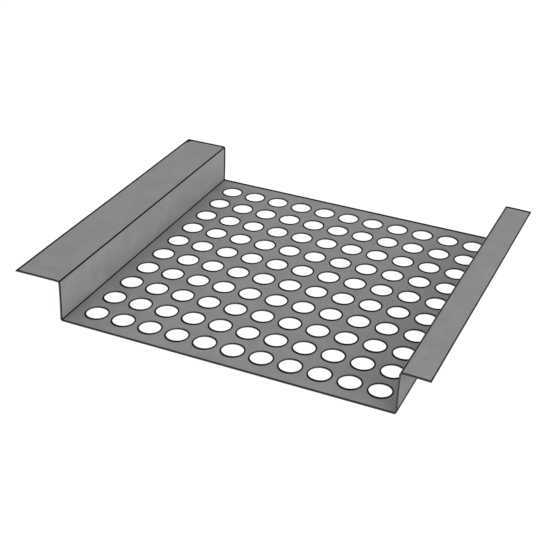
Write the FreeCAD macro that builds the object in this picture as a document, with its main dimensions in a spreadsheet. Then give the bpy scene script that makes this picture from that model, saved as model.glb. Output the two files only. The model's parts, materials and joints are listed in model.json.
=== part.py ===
"""Continuous soffit vent: a short length of hat section strip, roll formed from one perforated sheet.

X runs across the strip, Y along it and Z up, in millimetres. The origin is the middle of the
perforated face's underside, which is the side that shows below a finished soffit. Two webs rise
from the face, and a nailing flange turns outwards from the top of each, the left one wider than
the right. Round holes fill the face in straight rows, each row square across the strip.
"""
import FreeCAD, Part
import Sketcher
import math
import os

from FreeCAD import Vector

NODE = "vent_strip"

SIZES = {
    "sheet_thickness": 0.40,      # 30 gauge galvanised steel
    "strip_length": 107.95,       # the length that is shown, cut square at both ends
    "face_width": 101.6,          # over the outer faces of the two webs
    "board_depth": 12.7,          # underside of the face to underside of the flanges
    "left_flange_width": 14.3,    # outer face of the left web to the flange's edge
    "right_flange_width": 8.2,    # outer face of the right web to the flange's edge
    "bend_inner_radius": 0.4,
    "hole_diameter": 6.35,
    "bridge_across": 2.35,        # metal left between two holes of a row
    "bridge_along": 3.81,         # metal left between two rows
    "side_land": 3.5,             # least plain metal between a web and the nearest hole
    "end_land": 4.0,              # least plain metal between a cut end and the nearest row
}

# How many steps of one pitch fit between the lands, as expressions on the sheet.
PITCH_ACROSS = "(Sizes.hole_diameter + Sizes.bridge_across)"
PITCH_ALONG = "(Sizes.hole_diameter + Sizes.bridge_along)"
STEPS_ACROSS = f"floor((Sizes.face_width - 2 * Sizes.side_land - Sizes.hole_diameter) / {PITCH_ACROSS})"
STEPS_ALONG = f"floor((Sizes.strip_length - 2 * Sizes.end_land - Sizes.hole_diameter) / {PITCH_ALONG})"

# The section's twelve lines: rightwards along the underside, then back along the top.
(LEFT_UNDERSIDE, LEFT_WEB_OUTSIDE, FACE_UNDERSIDE, RIGHT_WEB_OUTSIDE, RIGHT_UNDERSIDE, RIGHT_EDGE,
 RIGHT_TOP, RIGHT_WEB_INSIDE, FACE_TOP, LEFT_WEB_INSIDE, LEFT_TOP, LEFT_EDGE) = range(12)

START, END, CENTRE = 1, 2, 3      # the points of a sketch's line or circle
ACROSS_AXIS = -1                  # the sketch's own horizontal axis, which starts at its origin
SKETCH_ORIGIN = (ACROSS_AXIS, START)

NEAR = 1e-4                       # how close an edge lies to the fold it belongs to
VOLUME_SHARE = 1e-6               # how far the punched volume may be from the sum of its holes


def make_sheet(doc):
    """Puts every driving dimension in an aliased cell, a plain number in each."""
    sheet = doc.addObject("Spreadsheet::Sheet", "Sizes")
    for row, (alias, value) in enumerate(SIZES.items(), start=1):
        sheet.set(f"A{row}", alias)
        sheet.set(f"B{row}", str(value))
        sheet.setAlias(f"B{row}", alias)
    doc.recompute()
    return sheet


def origin_plane(body, role):
    """The body's own origin plane of that role."""
    return next(p for p in body.Origin.OriginFeatures if p.Role == role)


def add_sketch(body, name, role):
    """A sketch attached to one of the body's own origin planes."""
    sketch = body.newObject("Sketcher::SketchObject", name)
    sketch.AttachmentSupport = (origin_plane(body, role), [""])
    sketch.MapMode = "FlatFace"
    return sketch


def bind(sketch, kind, where, value, expression):
    """Adds a dimension to a sketch and ties it to the sheet."""
    index = sketch.addConstraint(Sketcher.Constraint(kind, *where, value))
    sketch.setExpression(f"Constraints[{index}]", expression)


def hat_corners(sizes):
    """Where each of the section's lines starts while its folds are still sharp, as (x, z)."""
    thick = sizes.sheet_thickness
    outside, inside = sizes.face_width / 2, sizes.face_width / 2 - thick
    under, top = sizes.board_depth, sizes.board_depth + thick
    left_edge, right_edge = -outside - sizes.left_flange_width, outside + sizes.right_flange_width
    return [
        (left_edge, under), (-outside, under), (-outside, 0),
        (outside, 0), (outside, under), (right_edge, under),
        (right_edge, top), (inside, top), (inside, thick),
        (-inside, thick), (-inside, top), (left_edge, top),
    ]


def draw_section(body, sizes):
    """The folded section as one closed outline, every leg one sheet thick."""
    sketch = add_sketch(body, "Section", "XZ_Plane")
    corners = hat_corners(sizes)
    for (x, z), following in zip(corners, corners[1:] + corners[:1]):
        sketch.addGeometry(Part.LineSegment(Vector(x, z, 0), Vector(*following, 0)), False)
    lines = len(corners)
    for line in range(lines):
        sketch.addConstraint(Sketcher.Constraint("Coincident", line, END, (line + 1) % lines, START))
        sketch.addConstraint(Sketcher.Constraint("Horizontal" if line % 2 == 0 else "Vertical", line))

    # The face's underside lies on the floor, half its width to each side of the middle.
    low_left, low_right = (FACE_UNDERSIDE, START), (FACE_UNDERSIDE, END)
    half = sizes.face_width / 2
    bind(sketch, "DistanceX", (*low_left, *SKETCH_ORIGIN), half, "Sizes.face_width / 2")
    bind(sketch, "DistanceX", (*SKETCH_ORIGIN, *low_right), half, "Sizes.face_width / 2")
    sketch.addConstraint(Sketcher.Constraint("PointOnObject", *low_left, ACROSS_AXIS))

    # How high the undersides of the flanges are, and how far each flange reaches out.
    depth = sizes.board_depth
    bind(sketch, "DistanceY", (*low_left, LEFT_UNDERSIDE, END), depth, "Sizes.board_depth")
    bind(sketch, "DistanceY", (*low_right, RIGHT_UNDERSIDE, START), depth, "Sizes.board_depth")
    for side, flange in (("left", LEFT_UNDERSIDE), ("right", RIGHT_UNDERSIDE)):
        reach = getattr(sizes, f"{side}_flange_width")
        bind(sketch, "DistanceX", (flange, START, flange, END), reach, f"Sizes.{side}_flange_width")

    # One thickness for the left flange, left web, face, right web and right flange.
    thicknesses = [
        ("DistanceY", (LEFT_UNDERSIDE, START, LEFT_TOP, END)),
        ("DistanceX", (*low_left, FACE_TOP, END)),
        ("DistanceY", (*low_left, FACE_TOP, END)),
        ("DistanceX", (FACE_TOP, START, *low_right)),
        ("DistanceY", (RIGHT_EDGE, START, RIGHT_EDGE, END)),
    ]
    for kind, where in thicknesses:
        bind(sketch, kind, where, sizes.sheet_thickness, "Sizes.sheet_thickness")
    return sketch


def lengthwise_edges(shape, places):
    """Names of the edges that run along the strip through the given (x, z) places."""
    names = []
    for number, edge in enumerate(shape.Edges, start=1):
        first, last = edge.Vertexes[0].Point, edge.Vertexes[-1].Point
        runs_along = abs(last.y - first.y) > NEAR
        if runs_along and any(math.hypot(first.x - x, first.z - z) < NEAR for x, z in places):
            names.append(f"Edge{number}")
    return names


def round_bends(body, base, name, places, radius_expression):
    """Rounds the sharp folds at the given places with one radius."""
    fillet = body.newObject("PartDesign::Fillet", name)
    fillet.Base = (base, lengthwise_edges(base.Shape, places))
    fillet.setExpression("Radius", radius_expression)
    return fillet


def punch_holes(body, sizes):
    """One round hole in the first corner, repeated across a row and along the strip.

    The grid is centred on the face, so the first hole lies half of all the steps from the middle.
    """
    sketch = add_sketch(body, "FirstHole", "XY_Plane")
    first = Vector(-sizes.face_width / 2, -sizes.strip_length / 2, 0)
    sketch.addGeometry(Part.Circle(first, Vector(0, 0, 1), sizes.hole_diameter / 2), False)
    circle = 0
    middle = (circle, CENTRE, *SKETCH_ORIGIN)
    bind(sketch, "Diameter", (circle,), sizes.hole_diameter, "Sizes.hole_diameter")
    bind(sketch, "DistanceX", middle, -first.x, f"{STEPS_ACROSS} * {PITCH_ACROSS} / 2")
    bind(sketch, "DistanceY", middle, -first.y, f"{STEPS_ALONG} * {PITCH_ALONG} / 2")

    hole = body.newObject("PartDesign::Pocket", "Punch")
    hole.Profile = sketch
    hole.Type = "ThroughAll"
    hole.Reversed = True

    pattern = body.newObject("PartDesign::LinearPattern", "HoleGrid")
    pattern.Originals = [hole]
    pattern.Direction = (sketch, ["H_Axis"])
    pattern.Mode = "Extent"
    pattern.setExpression("Occurrences", f"{STEPS_ACROSS} + 1")
    pattern.setExpression("Length", f"{STEPS_ACROSS} * {PITCH_ACROSS}")
    pattern.Direction2 = (sketch, ["V_Axis"])
    pattern.Mode2 = "Extent"
    pattern.setExpression("Occurrences2", f"{STEPS_ALONG} + 1")
    pattern.setExpression("Length2", f"{STEPS_ALONG} * {PITCH_ALONG}")
    body.Tip = pattern


def make_strip(doc, sizes):
    """The whole strip: section padded along Y, folds rounded, holes punched."""
    body = doc.addObject("PartDesign::Body", "VentStrip")
    body.Label = NODE
    section = draw_section(body, sizes)
    pad = body.newObject("PartDesign::Pad", "Strip")
    pad.Profile = section
    pad.setExpression("Length", "Sizes.strip_length")
    pad.Midplane = True
    doc.recompute()

    corners = hat_corners(sizes)
    hollow_side = [corners[i] for i in (LEFT_WEB_OUTSIDE, RIGHT_UNDERSIDE, FACE_TOP, LEFT_WEB_INSIDE)]
    round_side = [corners[i] for i in (FACE_UNDERSIDE, RIGHT_WEB_OUTSIDE, RIGHT_WEB_INSIDE, LEFT_TOP)]
    inner = round_bends(body, pad, "InsideBends", hollow_side, "Sizes.bend_inner_radius")
    doc.recompute()
    round_bends(body, inner, "OutsideBends", round_side,
                "Sizes.bend_inner_radius + Sizes.sheet_thickness")
    doc.recompute()
    punch_holes(body, sizes)
    body.Placement = FreeCAD.Placement()
    doc.recompute()
    return body


def check(doc, body):
    """Stops the build if an object failed, or the solid isn't one sound piece with every hole cut."""
    for item in doc.Objects:
        if "Invalid" in item.State or "Error" in item.State:
            raise RuntimeError(f"{item.Name} failed: {item.State}")
    shape = body.Shape
    if shape.isNull() or not shape.isValid() or len(shape.Solids) != 1:
        raise RuntimeError(f"{body.Label} isn't one valid solid")
    pattern, sizes = doc.getObject("HoleGrid"), doc.getObject("Sizes")
    holes = pattern.Occurrences * pattern.Occurrences2
    punched = doc.getObject("OutsideBends").Shape.Volume - shape.Volume
    expected = holes * math.pi * (sizes.hole_diameter / 2) ** 2 * sizes.sheet_thickness
    if abs(punched - expected) > VOLUME_SHARE * expected:
        raise RuntimeError(f"{holes} holes should take {expected:.3f} mm3 and took {punched:.3f}")
    print(f"{body.Label}: {pattern.Occurrences} x {pattern.Occurrences2} holes, {shape.Volume:.2f} mm3")


def main():
    """Builds the document and writes the strip's STEP file."""
    doc = FreeCAD.newDocument("SoffitVent")
    sizes = make_sheet(doc)
    body = make_strip(doc, sizes)
    check(doc, body)
    os.makedirs("parts", exist_ok=True)
    body.Shape.exportStep(f"parts/{body.Label}.step")


main()
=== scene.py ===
"""Looks of a continuous soffit vent: a short length of perforated, roll formed galvanised strip.

The strip is made as the real one is. A flat blank is punched with its grid of holes and sheared to
length, as one closed skin in blank coordinates: u across the blank, v along it and w up through its
thickness. The blank is then folded into its hat section: a perforated face, two webs and two nailing
flanges. All lengths are metres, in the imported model's own frame, and come from its box, its mounts
and its openings where those give them.
"""
import json
import logging
import math
from dataclasses import dataclass, field
from enum import Enum
from functools import reduce

import bpy
import numpy as np
from mathutils import Matrix, Vector


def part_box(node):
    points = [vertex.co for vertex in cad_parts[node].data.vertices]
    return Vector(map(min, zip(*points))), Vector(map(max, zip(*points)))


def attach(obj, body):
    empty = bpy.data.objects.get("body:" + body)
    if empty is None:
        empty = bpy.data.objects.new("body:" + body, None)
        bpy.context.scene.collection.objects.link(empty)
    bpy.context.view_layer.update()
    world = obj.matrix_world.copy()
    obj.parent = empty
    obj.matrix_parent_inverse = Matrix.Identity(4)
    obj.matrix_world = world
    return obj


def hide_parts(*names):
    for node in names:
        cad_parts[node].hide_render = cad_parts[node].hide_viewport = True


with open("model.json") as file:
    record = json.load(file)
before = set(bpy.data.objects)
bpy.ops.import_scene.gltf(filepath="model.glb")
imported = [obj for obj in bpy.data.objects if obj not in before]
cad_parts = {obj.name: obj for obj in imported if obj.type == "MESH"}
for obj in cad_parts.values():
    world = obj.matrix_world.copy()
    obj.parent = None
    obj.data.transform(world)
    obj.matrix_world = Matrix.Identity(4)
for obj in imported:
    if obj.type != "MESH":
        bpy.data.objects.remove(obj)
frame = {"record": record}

LOG = logging.getLogger("soffit_vent")
NODE = "vent_strip"
BODY = "root"
MM = 1e-3
QUARTER = np.radians([0.0, 45.0, 90.0])      # a quarter circle in two steps
MIDDLE = 0.5                                 # the mean of a pattern that runs from 0 to 1
MIXED_COLOUR = 2                             # the output of a Mix node that holds a colour


class Skin(Enum):
    """The material slots of the strip's mesh, by their index."""

    TOP = 0
    UNDERSIDE = 1
    SHEARED = 2


class Way(Enum):
    """The distances that the strip's mesh holds at each point, by the name of the attribute."""

    RIM = "from_rim"
    EDGE = "from_edge"
    FOLD = "from_fold"


# Shader graphs


class Wire:
    """A shader socket that arithmetic can be written with."""

    def __init__(self, kit: "NodeKit", socket: bpy.types.NodeSocket) -> None:
        self.kit = kit
        self.socket = socket

    def __add__(self, other: "Wire | float") -> "Wire":
        """Adds, as self + other."""
        return self.kit.math("ADD", self, other)

    def __sub__(self, other: "Wire | float") -> "Wire":
        """Subtracts, as self - other."""
        return self.kit.math("SUBTRACT", self, other)

    def __rsub__(self, other: float) -> "Wire":
        """Subtracts, as other - self."""
        return self.kit.math("SUBTRACT", other, self)

    def __mul__(self, other: "Wire | float") -> "Wire":
        """Multiplies, as self * other."""
        return self.kit.math("MULTIPLY", self, other)

    __radd__ = __add__
    __rmul__ = __mul__


class NodeKit:
    """A material's node tree, with its Principled shader.

    Sockets are named by keyword, with spaces as underscores.
    """

    def __init__(self, name: str) -> None:
        """Makes a material whose tree holds a Principled shader and an output.

        Args:
            name: the material's name.
        """
        self.material = bpy.data.materials.new(name)
        self.material.use_nodes = True
        self.tree = self.material.node_tree
        self.shader = self.tree.nodes["Principled BSDF"]

    def node(self, kind: str, settings: dict[str, object] | None = None, out: int | str = 0,
             **sockets: object) -> Wire:
        """Adds a node.

        Args:
            kind: the node's type, without its ShaderNode prefix.
            settings: properties that are set on the node before its sockets.
            out: index or name of the output that is returned.
            **sockets: values or wires by the input's name or identifier.

        Returns:
            The chosen output as a wire.
        """
        node = self.tree.nodes.new("ShaderNode" + kind)
        for key, value in (settings or {}).items():
            setattr(node, key, value)
        for key, value in sockets.items():
            self.plug(self.input_of(node, key), value)
        return Wire(self, node.outputs[out])

    @staticmethod
    def input_of(node: bpy.types.Node, key: str) -> bpy.types.NodeSocket:
        """Finds the enabled input whose name or identifier is the key."""
        names = (key, key.replace("_", " "))
        return next(s for s in node.inputs if s.enabled and (s.name in names or s.identifier in names))

    def plug(self, socket: bpy.types.NodeSocket, value: object) -> None:
        """Links a wire to an input, or sets the input's own value.

        Args:
            socket: the input.
            value: a wire, a number or a vector.
        """
        if isinstance(value, Wire):
            self.tree.links.new(value.socket, socket)
        else:
            socket.default_value = value

    def math(self, operation: str, first: Wire | float, second: Wire | float) -> Wire:
        """Adds a Math node of that operation on two values."""
        return self.node("Math", {"operation": operation}, 0, Value=first, Value_001=second)

    def most(self, first: Wire, *others: Wire | float) -> Wire:
        """Takes the largest of its values."""
        return reduce(lambda left, right: self.math("MAXIMUM", left, right), others, first)

    def near(self, way: Wire, reach: float, core: float = 0.0) -> Wire:
        """Fades a distance smoothly, from 1 up to the core, a share of the reach, to 0 at the reach."""
        return self.node("MapRange", {"interpolation_type": "SMOOTHSTEP"}, "Result", Value=way,
                         From_Min=core * reach, From_Max=reach, To_Min=1.0, To_Max=0.0)

    def over(self, value: Wire, low: float, high: float) -> Wire:
        """Rises from 0 to 1 as a value goes from low to high, smoothly."""
        return self.node("MapRange", {"interpolation_type": "SMOOTHSTEP"}, "Result", Value=value,
                         From_Min=low, From_Max=high, To_Min=0.0, To_Max=1.0)

    def blend(self, factor: Wire, first: object, second: object) -> Wire:
        """Mixes two colours, from the first at 0 to the second at 1."""
        return self.node("Mix", {"data_type": "RGBA", "clamp_factor": True}, MIXED_COLOUR,
                         Factor_Float=factor, A_Color=first, B_Color=second)

    def shade(self, colour: tuple[float, float, float], tone: Wire) -> Wire:
        """Multiplies a colour by a tone."""
        return self.node("VectorMath", {"operation": "SCALE"}, 0, Vector=colour, Scale=tone)

    def attribute(self, name: str) -> Wire:
        """Reads one of the mesh's own numbers."""
        return self.node("Attribute", {"attribute_name": name}, "Fac")

    def place(self, cell: tuple[float, float, float], turn: float = 0.0) -> Wire:
        """Counts Object coordinates in cells.

        Args:
            cell: the cell's size in metres each way, so that a pattern can be drawn out.
            turn: the angle by which the cells are turned about Z.

        Returns:
            The place as a vector.
        """
        where = self.node("TexCoord", None, "Object")
        return self.node("Mapping", {"vector_type": "TEXTURE"}, 0, Vector=where, Rotation=(0.0, 0.0, turn),
                         Scale=cell)

    def noise(self, cell: tuple[float, float, float], detail: float = 2.0, turn: float = 0.0) -> Wire:
        """Noise about zero, from -0.5 to 0.5, with about one bump to a cell."""
        return self.node("TexNoise", None, "Fac", Vector=self.place(cell, turn), Scale=1.0,
                         Detail=detail) - MIDDLE

    def bump(self, height: Wire, depth: float) -> Wire:
        """Turns a height about zero, times a depth in metres, into a normal."""
        return self.node("Bump", None, 0, Strength=1.0, Distance=depth, Height=height)

    def surface(self, **sockets: object) -> None:
        """Sets or links the Principled shader's inputs."""
        for key, value in sockets.items():
            self.plug(self.input_of(self.shader, key), value)


def cube(side: float) -> tuple[float, float, float]:
    """Makes a cell with equal sides."""
    return (side, side, side)


# Finishes


@dataclass(frozen=True)
class PhosphatedZinc:
    """Galvanised coating treated with phosphate: a dull mid grey with the ghost of its spangle.

    Sizes, marks, lines, the fray, the reach and the relief are metres. A depth is a share of the
    tone, and a gloss is what its pattern adds to the roughness. The wander is counted in crystals, a
    low is the value of the noise at which a scratch begins, and the scratch's relief is a share of
    the grain's.
    """

    name: str = "zinc_top"
    tone: tuple[float, float, float] = (0.199, 0.2015, 0.2075)
    line_tone: tuple[float, float, float, float] = (0.016, 0.015, 0.016, 1.0)
    metallic: float = 0.08
    roughness: float = 0.68
    spangle_size: float = 4.5 * MM
    spangle_fray: float = 1.5 * MM
    spangle_wander: float = 0.4
    spangle_depth: float = 0.14
    spangle_gloss: float = 0.12
    roll_mark: tuple[float, float, float] = (0.7 * MM, 60 * MM, 0.7 * MM)
    roll_depth: float = 0.10
    grain_size: float = 0.35 * MM
    grain_depth: float = 0.12
    fine_detail: float = 3.0
    cloud_size: float = 22 * MM
    cloud_depth: float = 0.10
    cloud_gloss: float = 0.15
    scratch_mark: tuple[float, float, float] = (0.45 * MM, 16 * MM, 0.45 * MM)
    scratch_detail: float = 1.0
    scratch_turns: tuple[float, float] = (math.radians(3), math.radians(-38))
    scratch_lows: tuple[float, float] = (0.20, 0.23)
    scratch_fade: float = 0.06
    scratch_depth: float = 0.10
    scratch_gloss: float = -0.12
    scratch_relief: float = -0.5
    # darkening near the folds and holes: painted crease shade in the inner bends, and dirt
    crease_shade_and_grime_depth: float = 0.06
    crease_shade_and_grime_reach: float = 1.4 * MM
    rim_line: float = 0.49 * MM
    edge_line: float = 0.60 * MM
    fold_line: float = 0.21 * MM
    line_core: float = 0.8
    line_gloss: float = 0.2
    relief: float = 0.012 * MM

    def crystals(self, kit: NodeKit) -> Wire:
        """Gives each crystal of the spangle one random value about zero, with ragged borders.

        The crystals are the cells of a Voronoi pattern, whose places are pushed about by a finer noise.

        Args:
            kit: the material's node tree.

        Returns:
            The crystals' values.
        """
        push = kit.node("TexNoise", None, "Color", Vector=kit.place(cube(self.spangle_fray)), Scale=1.0)
        push = kit.node("VectorMath", {"operation": "SCALE"}, 0, Vector=push, Scale=self.spangle_wander)
        where = kit.node("VectorMath", {"operation": "ADD"}, 0, Vector=kit.place(cube(self.spangle_size)),
                         Vector_001=push)
        crystal = kit.node("TexVoronoi", {"feature": "F1"}, "Color", Vector=where, Scale=1.0)
        return kit.node("SeparateColor", None, 0, Color=crystal) - MIDDLE

    def scratches(self, kit: NodeKit) -> Wire:
        """Draws sparse light scratches in two directions: the peaks of noise that is drawn out.

        Args:
            kit: the material's node tree.

        Returns:
            1 on a scratch and 0 beside it.
        """
        peaks = []
        for turn, low in zip(self.scratch_turns, self.scratch_lows):
            drawn_out = kit.noise(self.scratch_mark, self.scratch_detail, turn)
            peaks.append(kit.over(drawn_out, low, low + self.scratch_fade))
        return kit.most(*peaks)

    def lines(self, kit: NodeKit) -> Wire:
        """Draws the dark lines that follow the hole rims, the sheared edges and the folds. In a fold's
        inner corner and at a web's foot, the line is painted shade.

        Args:
            kit: the material's node tree.

        Returns:
            1 on a line and 0 beside it.
        """
        widths = {Way.RIM: self.rim_line, Way.EDGE: self.edge_line, Way.FOLD: self.fold_line}
        drawn = (kit.near(kit.attribute(way.value), width, self.line_core) for way, width in widths.items())
        return kit.most(*drawn)

    def crease_shade_and_grime(self, kit: NodeKit) -> Wire:
        """Darkens the coating near the folds and round the holes: painted crease shade in the inner bends,
        and dirt.
        """
        reached = (kit.near(kit.attribute(way.value), self.crease_shade_and_grime_reach) for way in (Way.FOLD, Way.RIM))
        return kit.most(*reached)

    def make(self) -> bpy.types.Material:
        """Builds the coating's material.

        The tone is 1 plus the sum of its patterns, each about zero: crystals of the spangle, marks of
        the rolls along the strip, fine grain, broad clouds and scratches, less a darkening near the folds
        and round the holes, which is painted crease shade in the inner bends and dirt. The grain, the
        roll marks and the scratches are also its relief. On a line the coating is black, and metallic so
        that it has no pale sheen.

        Returns:
            The material.
        """
        kit = NodeKit(self.name)
        crystals, scratches, lines = self.crystals(kit), self.scratches(kit), self.lines(kit)
        rolled = kit.noise(self.roll_mark, self.fine_detail)
        grain = kit.noise(cube(self.grain_size), self.fine_detail)
        clouds = kit.noise(cube(self.cloud_size))
        # less painted crease shade in the inner bends and dirt near the folds and holes
        tone = (1.0 - self.crease_shade_and_grime_depth * self.crease_shade_and_grime(kit) + self.spangle_depth * crystals
                + self.roll_depth * rolled + self.grain_depth * grain + self.cloud_depth * clouds
                + self.scratch_depth * scratches)
        roughness = (self.roughness + self.spangle_gloss * crystals + self.cloud_gloss * clouds
                     + self.scratch_gloss * scratches + self.line_gloss * lines)
        kit.surface(Base_Color=kit.blend(lines, kit.shade(self.tone, tone), self.line_tone),
                    Metallic=kit.most(lines, self.metallic), Roughness=roughness,
                    Normal=kit.bump(grain + rolled + self.scratch_relief * scratches, self.relief))
        return kit.material


@dataclass(frozen=True)
class ShearedSteel:
    """The bare wall that a punch or a shear leaves: dark steel with fine upright tear marks."""

    tone: tuple[float, float, float] = (0.050, 0.049, 0.050)
    metallic: float = 0.5
    roughness: float = 0.6
    tear_mark: tuple[float, float, float] = (0.10 * MM, 0.10 * MM, 0.8 * MM)
    tear_depth: float = 0.8
    tear_gloss: float = 0.3
    relief: float = 0.01 * MM

    def make(self) -> bpy.types.Material:
        """Builds the cut edge's material, whose tone, roughness and relief follow the tear marks.

        Returns:
            The material.
        """
        kit = NodeKit("sheared_steel")
        tears = kit.noise(self.tear_mark)
        kit.surface(Base_Color=kit.shade(self.tone, 1.0 + self.tear_depth * tears), Metallic=self.metallic,
                    Roughness=self.roughness + self.tear_gloss * tears, Normal=kit.bump(tears, self.relief))
        return kit.material


# The strip


@dataclass(frozen=True)
class HatSection:
    """The folded section, the same on both sides apart from the flanges' reach.

    Its sizes are the x of the right web's outer side, the height of the flanges' underside, the
    sheet's thickness, the x of each flange's edge and the bends' inner radius. A share says how wide
    the dark line of a lower bend is against the finish's fold line: at its foot, which is its
    underside, on the left and on the right, and inside. That line is painted shade: a painted contact
    shadow at the web's foot, and painted crease shade inside. A place says how far round the upper
    bend its line runs, on the left and on the right.
    """

    web: float
    under_flange: float
    thickness: float
    left_edge: float
    right_edge: float
    bend_radius: float = 0.4 * MM
    # the lower bend's dark line is painted shade: a contact shadow at the foot, crease shade inside
    foot_shadow_shares: tuple[float, float] = (3.0, 4.5)
    crease_shade_share: float = 1.7
    upper_places: tuple[float, float] = (0.5, 0.75)

    @property
    def outer_radius(self) -> float:
        """Radius of a bend's round side."""
        return self.bend_radius + self.thickness

    @property
    def middle_radius(self) -> float:
        """Radius of a bend at the middle of the sheet, where the sheet keeps its length."""
        return self.bend_radius + self.thickness / 2

    @property
    def stations(self) -> tuple[float, float, float, float]:
        """Places on the blank at which the two bends start and end.

        Returns:
            Start and end of the lower bend and of the upper bend, as distances from the face's middle.
        """
        arc = self.middle_radius * math.pi / 2
        first = self.web - self.outer_radius
        second = first + arc + self.under_flange - self.bend_radius - self.outer_radius
        return first, first + arc, second, second + arc

    def reach(self, edge: float) -> float:
        """Distance on the blank from the face's middle to a flange's edge at that x."""
        return self.stations[3] + abs(edge) - self.web - self.bend_radius

    def fold(self, u: np.ndarray, w: np.ndarray) -> tuple[np.ndarray, np.ndarray]:
        """Folds the blank.

        With s the distance from the face's middle, the sheet lies flat up to the first station, turns
        up through a quarter circle about a centre above it, climbs the web, turns out through a quarter
        circle about a centre outside the web, and runs flat to the flange's edge.

        Args:
            u: places across the blank.
            w: heights through the sheet, from 0 at the underside to the thickness at the top.

        Returns:
            x and z of each point.
        """
        s, side = np.abs(u), np.where(u < 0, -1.0, 1.0)
        start, up, turn, out = self.stations
        low = np.clip((s - start) / self.middle_radius, 0, math.pi / 2)
        high = np.clip((s - turn) / self.middle_radius, 0, math.pi / 2)
        inner, outer = self.outer_radius - w, self.bend_radius + w
        root = self.web + self.bend_radius
        legs = [s <= start, s <= up, s <= turn, s <= out]
        x = np.select(legs, [s, start + inner * np.sin(low), self.web - w, root - outer * np.cos(high)],
                      root + s - out)
        z = np.select(legs, [w, self.outer_radius - inner * np.cos(low), self.outer_radius + s - up,
                             self.under_flange - self.bend_radius + outer * np.sin(high)],
                      self.under_flange + w)
        return side * x, z

    def from_fold(self, u: np.ndarray, w: np.ndarray) -> np.ndarray:
        """Distance on the blank to the nearer fold's line, over that line's share.

        On the sheet's top, the lower bend's line runs along the middle of the bend, in its inner corner,
        as painted crease shade. On its underside, where the middle is out of sight from the drawing's
        side, the line runs at the foot of the web, as a painted contact shadow.
        Place and share change evenly from one to the other through the sheet. The upper bend's line
        runs at its place on both.

        Args:
            u: places across the blank.
            w: heights through the sheet.

        Returns:
            The distances.
        """
        s, rise, side = np.abs(u), w / self.thickness, (u > 0).astype(int)
        start, up, turn, out = self.stations
        lower = up - (up - start) / 2 * rise
        upper = turn + (out - turn) * np.take(self.upper_places, side)
        share = np.take(self.foot_shadow_shares, side) * (1 - rise) + self.crease_shade_share * rise
        return np.minimum(np.abs(s - lower) / share, np.abs(s - upper))


@dataclass(frozen=True)
class HoleGrid:
    """The punched holes, in straight rows centred on the face, each in a rectangular cell.

    A ring is the dark line round a hole. Its shift is a way across the strip and a way along it, and
    its stretch is along the strip.
    """

    pitch_across: float
    pitch_along: float
    columns: int = 11
    rows: int = 10
    radius: float = 3.175 * MM
    side_steps: int = 8
    ring_shift: tuple[float, float] = (0.12 * MM, -0.34 * MM)
    ring_stretch: float = 1.075

    @property
    def half_width(self) -> float:
        """Half the width of the block of cells."""
        return self.columns * self.pitch_across / 2

    @property
    def half_length(self) -> float:
        """Half the length of the block of cells."""
        return self.rows * self.pitch_along / 2

    def lines_across(self) -> np.ndarray:
        """Every u at which the cells' edges have a point."""
        return np.linspace(-self.half_width, self.half_width, self.columns * self.side_steps + 1)

    def lines_along(self) -> np.ndarray:
        """Every v at which the cells' edges have a point."""
        return np.linspace(-self.half_length, self.half_length, self.rows * self.side_steps + 1)

    def centres(self) -> np.ndarray:
        """Places every hole on the blank.

        Returns:
            The holes' centres as (u, v), one to a row of the array.
        """
        u = (np.arange(self.columns) - (self.columns - 1) / 2) * self.pitch_across
        v = (np.arange(self.rows) - (self.rows - 1) / 2) * self.pitch_along
        return np.stack(np.meshgrid(u, v, indexing="ij"), -1).reshape(-1, 2)

    def cell_edge(self) -> np.ndarray:
        """Walks round a cell's rectangle, anticlockwise from a corner.

        Returns:
            Points as (u, v) from the cell's middle, evenly spaced on each side.
        """
        way = np.arange(self.side_steps) / self.side_steps * 2 - 1
        fixed = np.ones_like(way)
        pairs = [(way, -fixed), (fixed, way), (-way, fixed), (-fixed, -way)]
        sides = np.concatenate([np.stack(pair, -1) for pair in pairs])
        return sides * (self.pitch_across / 2, self.pitch_along / 2)

    def from_rim(self, u: np.ndarray, v: np.ndarray) -> np.ndarray:
        """Distance on the blank to the nearest hole's ring, and 0 within it.

        A ring is its hole's outline, stretched along the strip and shifted, mostly towards the near
        end. The drawing's side shows the hole's wall only at the far side and the left, and the dark
        line then looks alike all round. With the shift and the stretch taken out, the distance is the
        length of the way from the hole's centre less its radius.

        Args:
            u: places across the blank.
            v: places along the blank.

        Returns:
            The distances.
        """
        spans = []
        for place, pitch, count in ((u, self.pitch_across, self.columns), (v, self.pitch_along, self.rows)):
            last = (count - 1) / 2
            step = np.clip(np.round(place / pitch + last), 0, count - 1) - last
            spans.append(place - step * pitch)
        across, along = (span - shift for span, shift in zip(spans, self.ring_shift))
        outside = np.hypot(across, along / self.ring_stretch) - self.radius
        return np.maximum(outside, 0.0)


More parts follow.
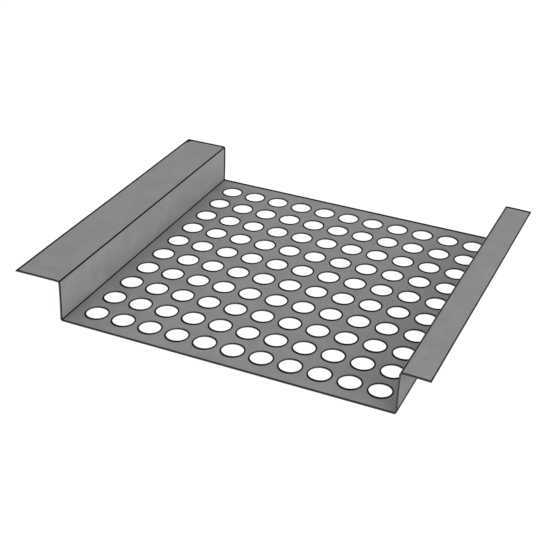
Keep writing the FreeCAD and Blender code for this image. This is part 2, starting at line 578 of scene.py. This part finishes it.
@dataclass
class Blank:
    """The flat blank as loose patches of quads in blank coordinates, before they are welded."""

    points: list[np.ndarray] = field(default_factory=list)
    quads: list[np.ndarray] = field(default_factory=list)
    skins: list[np.ndarray] = field(default_factory=list)
    size: int = 0

    def add(self, grid: np.ndarray, skins: list[Skin], closed: bool = False) -> None:
        """Adds a patch.

        Args:
            grid: points of shape (n, m, 3). The quads' front is on the side of n cross m.
            skins: the material slot of each of the n - 1 bands of quads.
            closed: whether the last column joins the first.
        """
        index = self.size + np.arange(grid.shape[0] * grid.shape[1]).reshape(grid.shape[:2])
        left = index if closed else index[:, :-1]
        right = np.roll(index, -1, 1) if closed else index[:, 1:]
        quads = np.stack([left[:-1], left[1:], right[1:], right[:-1]], -1)
        self.points.append(grid.reshape(-1, 3))
        self.quads.append(quads.reshape(-1, 4))
        self.skins.append(np.repeat([skin.value for skin in skins], quads.shape[1]))
        self.size += index.size

    def welded(self, close: float = 1e-4 * MM) -> tuple[np.ndarray, np.ndarray, np.ndarray]:
        """Joins points that share a place.

        Args:
            close: the spacing of the lattice on which two points count as one.

        Returns:
            Points, quads and the quads' material slots.
        """
        points = np.concatenate(self.points)
        lattice = np.round(points / close).astype(np.int64)
        _, first, index = np.unique(lattice, axis=0, return_index=True, return_inverse=True)
        return points[first], index.reshape(-1)[np.concatenate(self.quads)], np.concatenate(self.skins)


@dataclass(frozen=True)
class PunchedRim:
    """The section through a hole's rim, as a punch leaves it."""

    flat_from: float = 0.9 * MM
    sink: float = 0.025 * MM
    sink_reach: float = 0.3 * MM
    rollover: float = 0.09 * MM
    tear: float = 0.04 * MM
    burnish_share: float = 0.6

    def profile(self, thickness: float) -> tuple[np.ndarray, np.ndarray, list[Skin]]:
        """Runs from the flat top round the rim to the flat underside.

        The punch draws the top down, by an amount that dies away outwards as an exponential. It rolls
        the edge over through a quarter circle, shears a straight wall, and tears the rest, which
        widens towards the underside.

        Args:
            thickness: the sheet's thickness.

        Returns:
            Distances out from the wall, heights, and the material slot of each band between them.
        """
        top_out = np.concatenate([[self.flat_from, self.sink_reach], self.rollover * (1 - np.sin(QUARTER))])
        top = np.concatenate([[thickness] * 2, thickness - self.rollover * (1 - np.cos(QUARTER))])
        top -= self.sink * np.exp(-top_out / self.sink_reach)
        wall_end = thickness * (1 - self.burnish_share)
        out = np.concatenate([top_out, [0.0, self.tear, self.flat_from]])
        height = np.concatenate([top, [wall_end, 0.0, 0.0]])
        return out, height, [Skin.TOP] * 3 + [Skin.SHEARED] * 3 + [Skin.UNDERSIDE]


@dataclass(frozen=True)
class VentStrip:
    """The perforated strip: punched, sheared and folded from one sheet.

    The edges' shares say how wide the dark line is at the left, right, near and far edge against the
    finish's edge line. A droop or a bow is how far the metal is off true at most.
    """

    section: HatSection
    holes: HoleGrid
    half_length: float
    rim: PunchedRim = PunchedRim()
    edge_round: float = 0.06 * MM
    edge_band: float = 0.5 * MM
    margin_steps: int = 2
    bend_steps: int = 8
    leg_steps: int = 6
    edge_shares: tuple[float, float, float, float] = (1.37, 0.62, 0.88, 2.2)
    left_droop: float = 0.15 * MM
    right_droop: float = 0.25 * MM
    web_bow: float = 0.08 * MM
    wave_length: float = 74 * MM
    wave_start: float = 0.8
    wave_share: float = 0.25
    crease: float = math.radians(50)
    # the underside's tone is painted shade: darker than the top's, against the light the glowing table
    # throws onto the outer webs
    underside: tuple[float, float, float] = (0.131, 0.133, 0.138)

    @classmethod
    def from_frame(cls, record: dict) -> "VentStrip":
        """Reads the strip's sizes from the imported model.

        Args:
            record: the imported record, whose mounts give the section and whose openings give the grid.

        Returns:
            The strip.
        """
        low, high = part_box(NODE)
        mounts = {mount["name"]: mount["pos_m"] for mount in record["mounts"]}
        under_flange = mounts["left_flange_underside"][2]
        section = HatSection(web=mounts["right_web_outer"][0], under_flange=under_flange,
                             thickness=mounts["left_flange_top"][2] - under_flange,
                             left_edge=low.x, right_edge=high.x)
        middles = {item["name"]: np.mean(item["box_m"], 0) for item in record["physics"]["openings"]}
        columns, rows = HoleGrid.columns, HoleGrid.rows
        spread = middles[f"vent_hole_c{columns}_r{rows}"] - middles["vent_hole_c1_r1"]
        return cls(section, HoleGrid(spread[0] / (columns - 1), spread[1] / (rows - 1)), half_length=high.y)

    def punch(self, blank: Blank) -> None:
        """Adds one cell round each hole: in from its edge to the rim, down the wall and out below.

        Each loop of points lies on the straight lines from the hole's centre to the points of the
        cell's edge, at the hole's radius plus the rim's distance. Loops run clockwise, so that inwards
        crossed with their direction is up.

        Args:
            blank: the blank that the cells are added to.
        """
        edge = self.holes.cell_edge()[::-1]
        ray = edge / np.linalg.norm(edge, axis=1, keepdims=True)
        out, height, skins = self.rim.profile(self.section.thickness)
        loops = ray * (self.holes.radius + out[:, None, None])
        heights = np.concatenate([[self.section.thickness], height, [0.0]])
        for centre in self.holes.centres():
            grid = np.empty((len(heights), len(edge), 3))
            grid[..., :2] = np.concatenate([edge[None], loops, edge[None]]) + centre
            grid[..., 2] = heights[:, None]
            blank.add(grid, [Skin.TOP, *skins, Skin.UNDERSIDE], closed=True)

    def side_lines(self, edge: float) -> np.ndarray:
        """Lines from the block of cells out over one margin, bend, web, bend and flange.

        Args:
            edge: the x of the flange's edge on that side.

        Returns:
            Distances from the face's middle on the blank, outwards.
        """
        start, up, turn, out = self.section.stations
        far = self.section.reach(edge) - self.edge_round
        stops = [self.holes.half_width, start, up, turn, out, far - self.edge_band, far]
        margin, bend, leg = self.margin_steps, self.bend_steps, self.leg_steps
        steps = [margin, bend, leg, bend, leg, margin]
        legs = [np.linspace(a, b, n, endpoint=False) for a, b, n in zip(stops, stops[1:], steps)]
        return np.concatenate([*legs, [far]])

    def end_lines(self) -> np.ndarray:
        """Lines from the block of cells out over the margin to a sheared end.

        Returns:
            Distances from the strip's middle, outwards.
        """
        far = self.half_length - self.edge_round
        stops = [self.holes.half_length, far - self.edge_band, far]
        legs = [np.linspace(a, b, self.margin_steps, endpoint=False) for a, b in zip(stops, stops[1:])]
        return np.concatenate([*legs, [far]])

    def lay_skins(self, blank: Blank) -> None:
        """Adds the plain top and underside round the block of cells, as grids of straight lines.

        Args:
            blank: the blank that the grids are added to.
        """
        left = -self.side_lines(self.section.left_edge)[::-1]
        right = self.side_lines(self.section.right_edge)
        near, far = -self.end_lines()[::-1], self.end_lines()
        along = np.concatenate([near[:-1], self.holes.lines_along(), far[1:]])
        across = self.holes.lines_across()
        for u, v in ((left, along), (right, along), (across, near), (across, far)):
            for skin, height, order in ((Skin.TOP, self.section.thickness, 1), (Skin.UNDERSIDE, 0.0, -1)):
                grid = np.empty((len(u), len(v), 3))
                grid[..., 0] = u[:, None]
                grid[..., 1] = v[::order]
                grid[..., 2] = height
                blank.add(grid, [skin] * (len(u) - 1))

    def shear(self, blank: Blank) -> None:
        """Adds the sheared edge round the blank.

        Loops follow the border of the flat skins anticlockwise, moved straight out from it: a quarter
        circle rounds the upper corner, a wall goes down, and a quarter circle rounds the lower corner.

        Args:
            blank: the blank that the edge is added to.
        """
        left, right = self.side_lines(self.section.left_edge), self.side_lines(self.section.right_edge)
        ends = self.end_lines()
        u = np.concatenate([-left[:0:-1], self.holes.lines_across(), right[1:]])
        v = np.concatenate([-ends[:0:-1], self.holes.lines_along(), ends[1:]])
        sides = [(u[:-1], v[0]), (u[-1], v[:-1]), (u[:0:-1], v[-1]), (u[0], v[:0:-1])]
        border = np.concatenate([np.stack(np.broadcast_arrays(*side), -1) for side in sides])
        outward = (border == (u[-1], v[-1])) * 1.0 - (border == (u[0], v[0]))
        step = self.edge_round * np.concatenate([np.sin(QUARTER), np.cos(QUARTER)])
        drop, lift = self.edge_round * (1 - np.cos(QUARTER)), self.edge_round * (1 - np.sin(QUARTER))
        height = np.concatenate([self.section.thickness - drop, lift])
        grid = np.empty((len(step), len(border), 3))
        grid[..., :2] = border + outward * step[:, None, None]
        grid[..., 2] = height[:, None]
        blank.add(grid, [Skin.SHEARED] * (len(step) - 1), closed=True)

    def from_edge(self, u: np.ndarray, v: np.ndarray) -> np.ndarray:
        """Distance on the blank to the nearest sheared edge, over that edge's share of the line.

        From the drawing's side, a line is narrower where the dark wall of the cut shows below it, and
        wider where the white table shows behind it, so that all look alike.

        Args:
            u: places across the blank.
            v: places along the blank.

        Returns:
            The distances.
        """
        left = self.section.reach(self.section.left_edge)
        right = self.section.reach(self.section.right_edge)
        ways = left + u, right - u, self.half_length + v, self.half_length - v
        return np.minimum.reduce([way / share for way, share in zip(ways, self.edge_shares)])

    def relax(self, x: np.ndarray, y: np.ndarray, z: np.ndarray) -> tuple[np.ndarray, np.ndarray]:
        """Lets the folded sheet off true, inside its own box.

        A flange drops towards its edge with the square of the way out, and a web bows inwards as half
        a sine over its height. Both amounts vary along the strip as a sine.

        Args:
            x: places across the strip.
            y: places along it.
            z: heights.

        Returns:
            The new x and z.
        """
        section = self.section
        root = section.web + section.bend_radius
        wave = np.sin(y * math.tau / self.wave_length + self.wave_start)
        amount = 1.0 - self.wave_share + self.wave_share * wave
        for edge, droop in ((section.left_edge, self.left_droop), (section.right_edge, self.right_droop)):
            way = np.clip((np.sign(edge) * x - root) / (abs(edge) - root), 0.0, 1.0)
            z = z - droop * way ** 2 * amount
        foot, head = section.outer_radius, section.under_flange - section.bend_radius
        climb = (z - foot) / (head - foot)
        bow = self.web_bow * np.sin(math.pi * np.clip(climb, 0.0, 1.0)) * amount
        is_web = np.abs(np.abs(x) - section.web + section.thickness / 2) < section.thickness
        return np.where(is_web, x - np.sign(x) * bow, x), z

    def build(self) -> bpy.types.Object:
        """Punches, shears, welds and folds the blank.

        Returns:
            The strip's object, whose mesh also holds each point's distance from a hole's rim, from a
            sheared edge and from a fold.
        """
        blank = Blank()
        self.punch(blank)
        self.lay_skins(blank)
        self.shear(blank)
        points, quads, skins = blank.welded()
        u, y, w = points.T
        x, z = self.section.fold(u, w)
        x, z = self.relax(x, y, z)
        mesh = bpy.data.meshes.new("vent_sheet")
        mesh.from_pydata(np.stack([x, y, z], -1), [], quads)
        mesh.polygons.foreach_set("material_index", skins.astype(np.int32))
        mesh.polygons.foreach_set("use_smooth", np.ones(len(quads), bool))
        ways = {Way.RIM: self.holes.from_rim(u, y), Way.EDGE: self.from_edge(u, y),
                Way.FOLD: self.section.from_fold(u, w)}
        for way, values in ways.items():
            attribute = mesh.attributes.new(way.value, "FLOAT", "POINT")
            attribute.data.foreach_set("value", values.astype(np.float32))
        mesh.set_sharp_from_angle(angle=self.crease)
        mesh.validate()
        strip = bpy.data.objects.new("vent_sheet", mesh)
        bpy.context.scene.collection.objects.link(strip)
        return strip

    def dress(self, strip: bpy.types.Object) -> None:
        """Gives the strip the finish of each of its skins, in the order of their slots.

        Args:
            strip: the object that build made.
        """
        finishes = {
            Skin.TOP: PhosphatedZinc(),
            # the underside gets a darker copy of the coating as painted shade
            Skin.UNDERSIDE: PhosphatedZinc("zinc_underside", self.underside),
            Skin.SHEARED: ShearedSteel(),
        }
        for skin in Skin:
            strip.data.materials.append(finishes[skin].make())


# The studio


@dataclass(frozen=True)
class Studio:
    """A glowing white table, an even white sky, a low soft side light and the drawing's viewing angle."""

    azimuth: float = math.radians(22.75)
    elevation: float = math.radians(29.2)
    roll: float = math.radians(2.3)
    aim: tuple[float, float, float] = (-9.4 * MM, 1.2 * MM, 0.0)
    distance: float = 380.4 * MM
    focal_px: float = 1219.5
    picture_px: float = 540.0
    sensor_mm: float = 36.0
    nearest: float = 10 * MM
    white: tuple[float, float, float, float] = (1.0, 1.0, 1.0, 1.0)
    table_tone: tuple[float, float, float, float] = (0.1, 0.1, 0.1, 1.0)
    table_roughness: float = 0.9
    table_glow: float = 0.94
    table_drop: float = 0.05 * MM
    table_size: float = 6.0
    sky: float = 0.92
    key_place: tuple[float, float, float] = (1.25, -0.60, 0.45)
    key_size: float = 0.9
    key_power: float = 13.5

    def place_camera(self) -> None:
        """Puts the camera at its azimuth, elevation and distance from its aim, and turns in its roll."""
        side = Vector((math.cos(self.azimuth), math.sin(self.azimuth), 0.0))
        level = Vector((-side.y, side.x, 0.0))
        forward = level * math.cos(self.elevation) - Vector((0, 0, math.sin(self.elevation)))
        right = side * math.cos(self.roll) + side.cross(forward) * math.sin(self.roll)
        data = bpy.data.cameras.new("camera")
        data.sensor_width = self.sensor_mm
        data.lens = self.focal_px / self.picture_px * self.sensor_mm
        data.clip_start = self.nearest
        camera = bpy.data.objects.new("camera", data)
        turn = Matrix((right, right.cross(forward), -forward)).transposed().to_4x4()
        camera.matrix_world = Matrix.Translation(Vector(self.aim) - forward * self.distance) @ turn
        bpy.context.scene.collection.objects.link(camera)
        bpy.context.scene.camera = camera

    def lay_table(self) -> None:
        """Lays the pale table top just under the strip."""
        half = self.table_size / 2
        corners = [(-half, -half), (half, -half), (half, half), (-half, half)]
        mesh = bpy.data.meshes.new("table")
        mesh.from_pydata([(x, y, -self.table_drop) for x, y in corners], [], [(0, 1, 2, 3)])
        table = bpy.data.objects.new("table", mesh)
        kit = NodeKit("light_table")
        kit.surface(Base_Color=self.table_tone, Roughness=self.table_roughness, Emission_Color=self.white,
                    Emission_Strength=self.table_glow)
        mesh.materials.append(kit.material)
        bpy.context.scene.collection.objects.link(table)

    def light(self) -> None:
        """Lights the strip with the white sky and with the side light, turned towards the origin."""
        world = bpy.data.worlds.new("sky")
        world.use_nodes = True
        background = world.node_tree.nodes["Background"]
        background.inputs["Color"].default_value = self.white
        background.inputs["Strength"].default_value = self.sky
        bpy.context.scene.world = world
        data = bpy.data.lights.new("key", "AREA")
        data.energy = self.key_power
        data.size = self.key_size
        key = bpy.data.objects.new("key", data)
        place = Vector(self.key_place)
        turn = (-place).to_track_quat("-Z", "Y").to_matrix().to_4x4()
        key.matrix_world = Matrix.Translation(place) @ turn
        bpy.context.scene.collection.objects.link(key)

    def set_up(self) -> None:
        """Makes the whole studio, shown in plain sRGB tones."""
        bpy.context.scene.view_settings.view_transform = "Standard"
        self.place_camera()
        self.lay_table()
        self.light()


def main() -> None:
    """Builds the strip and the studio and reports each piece."""
    logging.basicConfig(level=logging.INFO, format="%(message)s")
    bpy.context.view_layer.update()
    vent = VentStrip.from_frame(frame["record"])
    strip = vent.build()
    vent.dress(strip)
    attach(strip, BODY)
    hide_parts(NODE)
    LOG.info("%s: %d points, %d quads", strip.name, len(strip.data.vertices), len(strip.data.polygons))
    Studio().set_up()
    LOG.info("studio: table, sky, key and camera")


if __name__ == "__main__":
    main()
